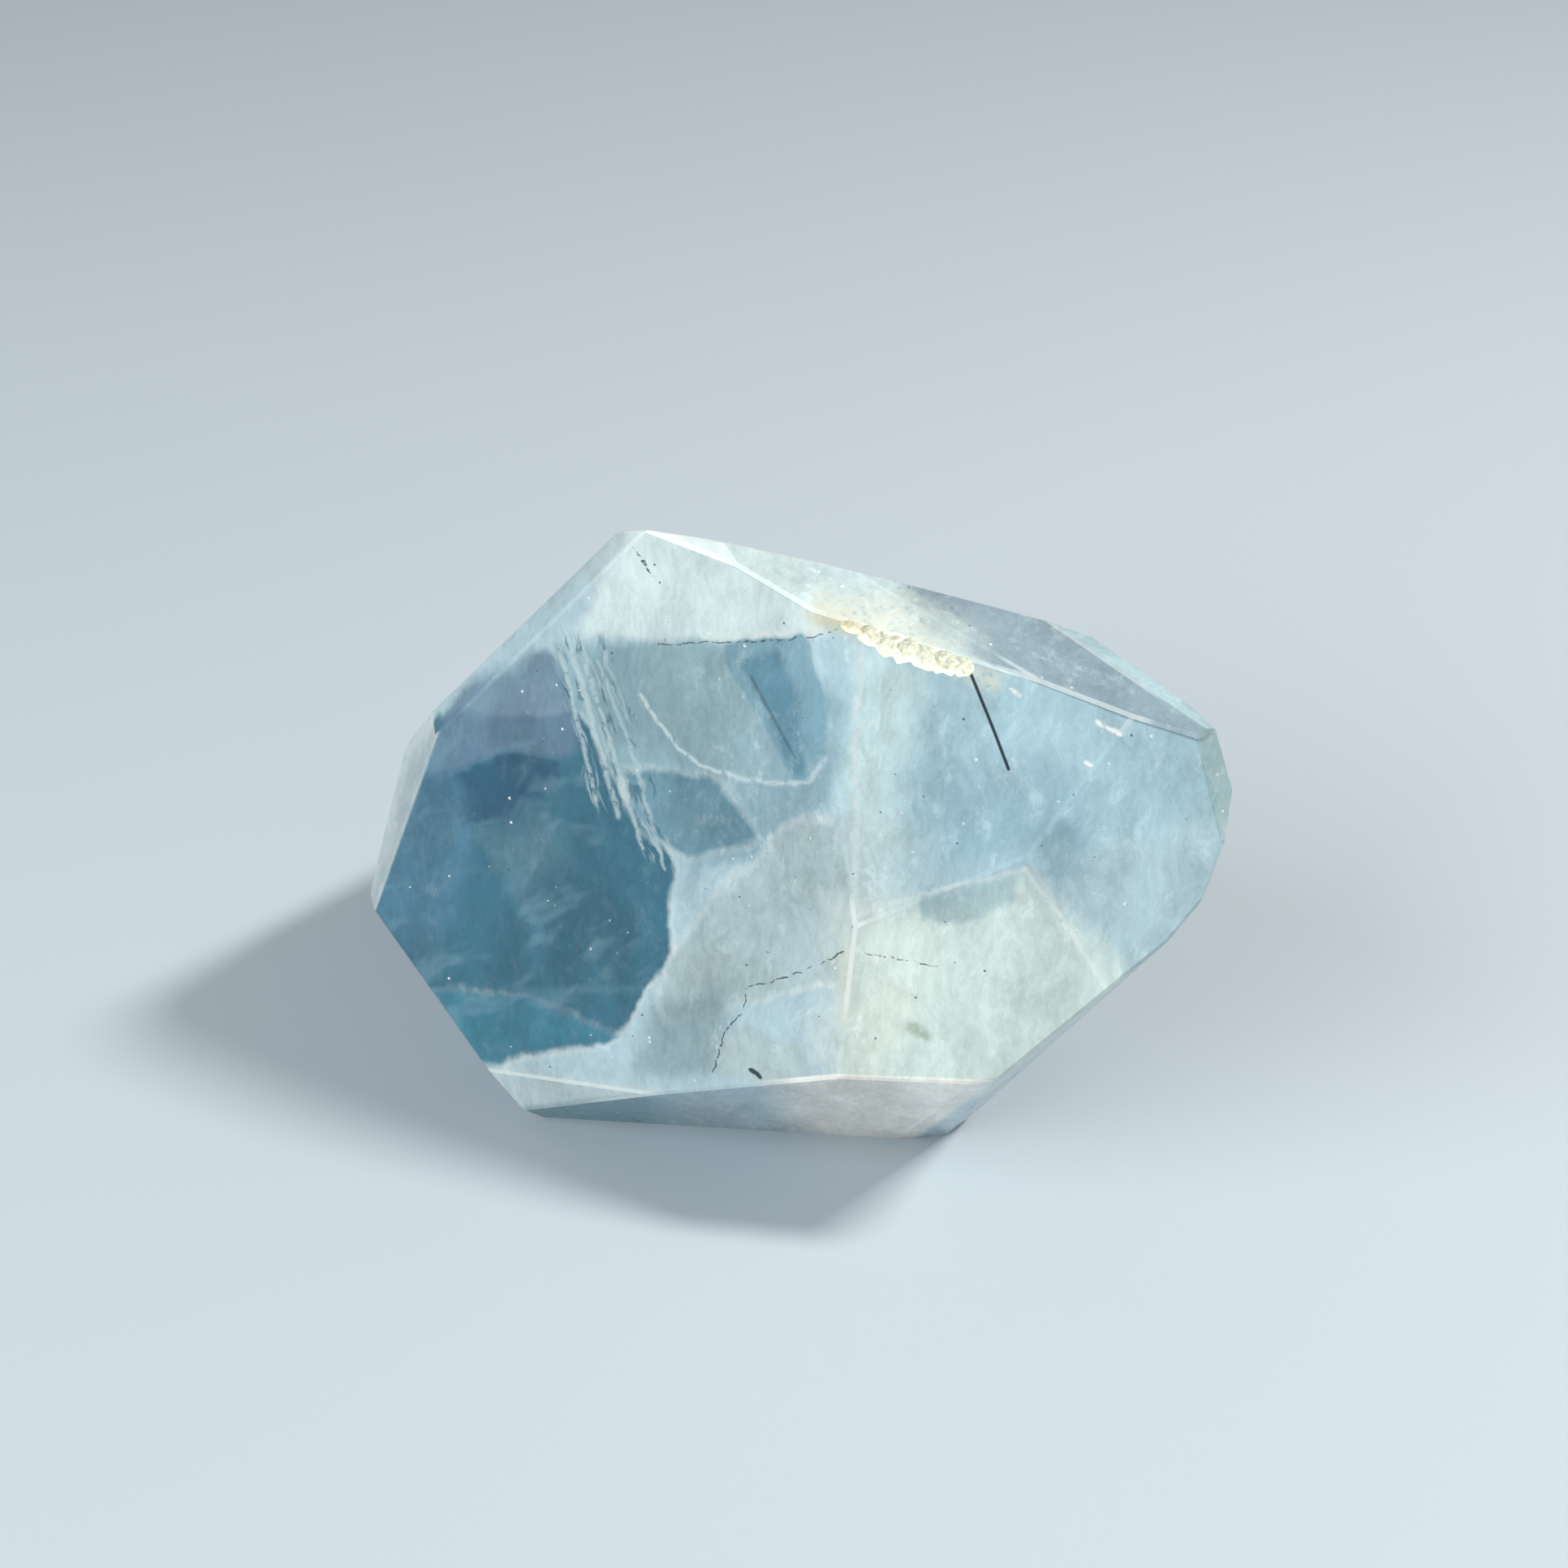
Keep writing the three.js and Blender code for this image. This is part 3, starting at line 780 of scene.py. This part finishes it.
# Broken fluorite: cream and ochre grains with no polish, so it reads as sugar beside the glass.
def chipMaterial():
    values = chipValues
    material, tree = newMaterial("rough fluorite chip")
    place = stonePlace(tree)
    grain = addNode(tree, "TexNoise", {"Vector": place, **values["grainNoise"]})
    ochre = addNode(tree, "MapRange", (grain, *values["grainFade"]), **softStep)
    color = layOver(tree, linearFromHex(values["creamHex"]), ochre, values["ochreHex"])
    alongX = addNode(tree, "SeparateXYZ", (place,))
    stain = addNode(tree, "MapRange", (alongX, *values["stainFade"]), **softStep)
    color = layOver(tree, color, stain, values["stainHex"])
    height = addNode(tree, "TexNoise", {"Vector": place, **values["bumpNoise"]})
    inputs = {
        "Base Color": color,
        "Roughness": values["roughness"],
        "IOR": polishValues["ior"],
        "Normal": addNode(tree, "Bump", {**values["bump"], "Height": height}),
    }
    surface = addNode(tree, "BsdfPrincipled", inputs)
    addNode(tree, "OutputMaterial", {"Surface": surface})
    return material


edgeValues = {
    "bruiseAndHighlightHex": "#e8f0ef",
    "bruiseNoise": {"Scale": 0.7, "Detail": 4.0, "Roughness": 0.7},
    "bruiseFade": (0.45, 0.7, 0.0, 0.09),
    "highlightFrom": 0.5,
    "highlightTo": 1.6,
    "roughness": 0.3,
    "transmission": 0.28,
}

# Stretches of edge with a painted highlight, and how strong it is.
paintedHighlightEdges = [
    {"strength": 0.85, "run": [(7.8, 24.8), (7.8, 19.5)]},
    {"strength": 0.35, "run": [(-8.0, 45.0), (-1.5, 44.8), (3.0, 43.6)]},
    {"strength": 0.3, "run": [(16.0, 40.8), (23.5, 38.9)]},
    {"strength": 0.5, "run": [(-18.0, 3.6), (-6.0, 6.8)]},
]


# Eased edges: the body colour a little bruised by handling and brightened by painted highlights, so
# they show as fine pale lines.
def edgeMaterial(group):
    values = edgeValues
    material, tree = newMaterial("eased fluorite edge")
    place = stonePlace(tree)
    straight = addNode(tree, "VectorMath", (place, onlyXZ), operation="MULTIPLY")
    bruiseAndHighlight = addNode(tree, "TexNoise", {"Vector": place, **values["bruiseNoise"]})
    bruiseAndHighlight = addNode(tree, "MapRange", (bruiseAndHighlight, *values["bruiseFade"]), **softStep)
    # Painted highlights along the stretches listed above, laid over the random bruising.
    for edge in paintedHighlightEdges:
        away = runDistance(tree, straight, edge["run"])
        fade = (away, values["highlightFrom"], values["highlightTo"], edge["strength"], 0.0)
        highlight = addNode(tree, "MapRange", fade, **softStep)
        bruiseAndHighlight = addNode(tree, "Math", (bruiseAndHighlight, highlight), operation="MAXIMUM")
    color = addNode(tree, "Group", (place,), node_tree=group)
    inputs = {
        "Base Color": layOver(tree, color, bruiseAndHighlight, values["bruiseAndHighlightHex"]),
        "Roughness": values["roughness"],
        "IOR": polishValues["ior"],
        "Transmission Weight": values["transmission"],
    }
    surface = addNode(tree, "BsdfPrincipled", inputs)
    addNode(tree, "OutputMaterial", {"Surface": surface, "Volume": blueDepth(tree)})
    return material


# Lengths and areas are in millimetres, and the flat angle is in radians.
stoneValues = {
    "weldDistance": 0.01,
    "flatAngle": 0.004,
    "chipBox": ((3.0, 16.0), (-12.8, -9.2), (39.0, 43.8)),
    "chipFaceArea": 1.2,
    "chipFacePerimeter": 6.0,
    "edgeFaceWidth": 0.36,
    "backFrom": -9.0,
}
polishedSlot, chipSlot, edgeSlot, backSlot = range(4)


# Small faces in the chip's box are the bites, and long narrow ones are the eased edges.
def faceSlot(face):
    values = stoneValues
    middle = face.calc_center_median() * perMetre
    area = face.calc_area() * perMetre**2
    perimeter = face.calc_perimeter() * perMetre
    inBox = all(low < middle[axis] < high for axis, (low, high) in enumerate(values["chipBox"]))
    if inBox and area < values["chipFaceArea"] and perimeter < values["chipFacePerimeter"]:
        return chipSlot
    if 2 * area / perimeter < values["edgeFaceWidth"]:
        return edgeSlot
    if min(vertex.co.y for vertex in face.verts) * perMetre > values["backFrom"]:
        return backSlot
    return polishedSlot


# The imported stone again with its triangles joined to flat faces, each with its own finish.
def buildStone():
    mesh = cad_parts["stone"].data.copy()
    mesh.name = "polished_stone"
    mesh.materials.clear()
    group = fluoriteGroup("fluorite body colour", True)
    backGroup = fluoriteGroup("fluorite body colour, back", False)
    mesh.materials.append(fluoriteMaterial("polished milky fluorite", group))
    mesh.materials.append(chipMaterial())
    mesh.materials.append(edgeMaterial(group))
    mesh.materials.append(fluoriteMaterial("polished milky fluorite, back", backGroup))
    body = bmesh.new()
    body.from_mesh(mesh)
    weld = stoneValues["weldDistance"] / perMetre
    flat = stoneValues["flatAngle"]
    bmesh.ops.remove_doubles(body, verts=body.verts, dist=weld)
    bmesh.ops.dissolve_limit(body, angle_limit=flat, verts=body.verts, edges=body.edges)
    for face in body.faces:
        face.material_index = faceSlot(face)
        face.smooth = False
    body.to_mesh(mesh)
    body.free()
    stone = bpy.data.objects.new("polished_stone", mesh)
    bpy.context.scene.collection.objects.link(stone)
    return stone


floorValues = {
    "hex": "#9ca8b3",
    "roughness": 0.7,
    "half": 3.0,
}


# Matt painted board, so the stone's shadow lies soft on it.
def buildFloor():
    material, tree = newMaterial("pale studio floor")
    inputs = {
        "Base Color": linearFromHex(floorValues["hex"]),
        "Roughness": floorValues["roughness"],
    }
    surface = addNode(tree, "BsdfPrincipled", inputs)
    addNode(tree, "OutputMaterial", {"Surface": surface})
    half = floorValues["half"]
    corners = [(-half, -half, 0), (half, -half, 0), (half, half, 0), (-half, half, 0)]
    mesh = bpy.data.meshes.new("studio_floor")
    mesh.from_pydata(corners, [], [(0, 1, 2, 3)])
    mesh.materials.append(material)
    floor = bpy.data.objects.new("studio_floor", mesh)
    bpy.context.scene.collection.objects.link(floor)
    return floor


# Lamp places and sizes are in metres.
lightValues = {
    "skyHex": "#e3e4e2",
    "skyStrength": 0.48,
    "target": (0.0, 0.0, 0.02),
    "keyFrom": (0.6117, 0.1291, 0.7805),
    "keyDistance": 0.5,
    "keyWatts": 3.25,
    "keySize": 0.07,
    "keyHex": "#fff8ee",
    "fillPlace": (-0.25, -0.35, 0.30),
    "fillWatts": 3.05,
    "fillSize": 0.40,
    "fillHex": "#fbfaf6",
}


# A round lamp, "key" or "fill", turned to the stone.
def addLamp(name, place):
    light = bpy.data.lights.new(name, "AREA")
    light.shape = "DISK"
    light.size = lightValues[name + "Size"]
    light.energy = lightValues[name + "Watts"]
    light.color = linearFromHex(lightValues[name + "Hex"])[:3]
    lamp = bpy.data.objects.new(name, light)
    lamp.location = place
    toStone = Vector(lightValues["target"]) - Vector(place)
    lamp.rotation_euler = toStone.to_track_quat("-Z", "Y").to_euler()
    bpy.context.scene.collection.objects.link(lamp)


def buildLights():
    world = bpy.data.worlds.new("soft studio sky")
    world.use_nodes = True
    tree = world.node_tree
    tree.nodes.clear()
    inputs = {
        "Color": linearFromHex(lightValues["skyHex"]),
        "Strength": lightValues["skyStrength"],
    }
    addNode(tree, "OutputWorld", {"Surface": addNode(tree, "Background", inputs)})
    bpy.context.scene.world = world
    keyWay = Vector(lightValues["keyFrom"]).normalized()
    addLamp("key", keyWay * lightValues["keyDistance"] + Vector(lightValues["target"]))
    addLamp("fill", lightValues["fillPlace"])


# Solved from the photograph. The place and both lens sizes are in millimetres,
# and the clips are in metres.
cameraValues = {
    "place": (36.517, -131.711, 122.097),
    "toward": (-0.22240, 0.77561, -0.59073),
    "right": (0.96126, 0.27564, 0.0),
    "focal": 55.9,
    "sensor": 36.0,
    "clipStart": 0.005,
    "clipEnd": 20.0,
}


def buildCamera():
    data = bpy.data.cameras.new("photo view")
    data.sensor_width = cameraValues["sensor"]
    data.lens = cameraValues["focal"]
    data.clip_start = cameraValues["clipStart"]
    data.clip_end = cameraValues["clipEnd"]
    toward = Vector(cameraValues["toward"]).normalized()
    right = Vector(cameraValues["right"]).normalized()
    up = right.cross(toward).normalized()
    turn = Matrix((right, up, -toward)).transposed().to_4x4()
    turn.translation = Vector(cameraValues["place"]) / perMetre
    camera = bpy.data.objects.new("photo view", data)
    camera.matrix_world = turn
    bpy.context.scene.collection.objects.link(camera)
    bpy.context.scene.camera = camera


stone = buildStone()
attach(stone, "root")
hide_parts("stone")
print("stone built")

floor = buildFloor()
buildLights()
buildCamera()
bpy.context.scene.view_settings.view_transform = "Standard"
print("floor, lights and camera set")
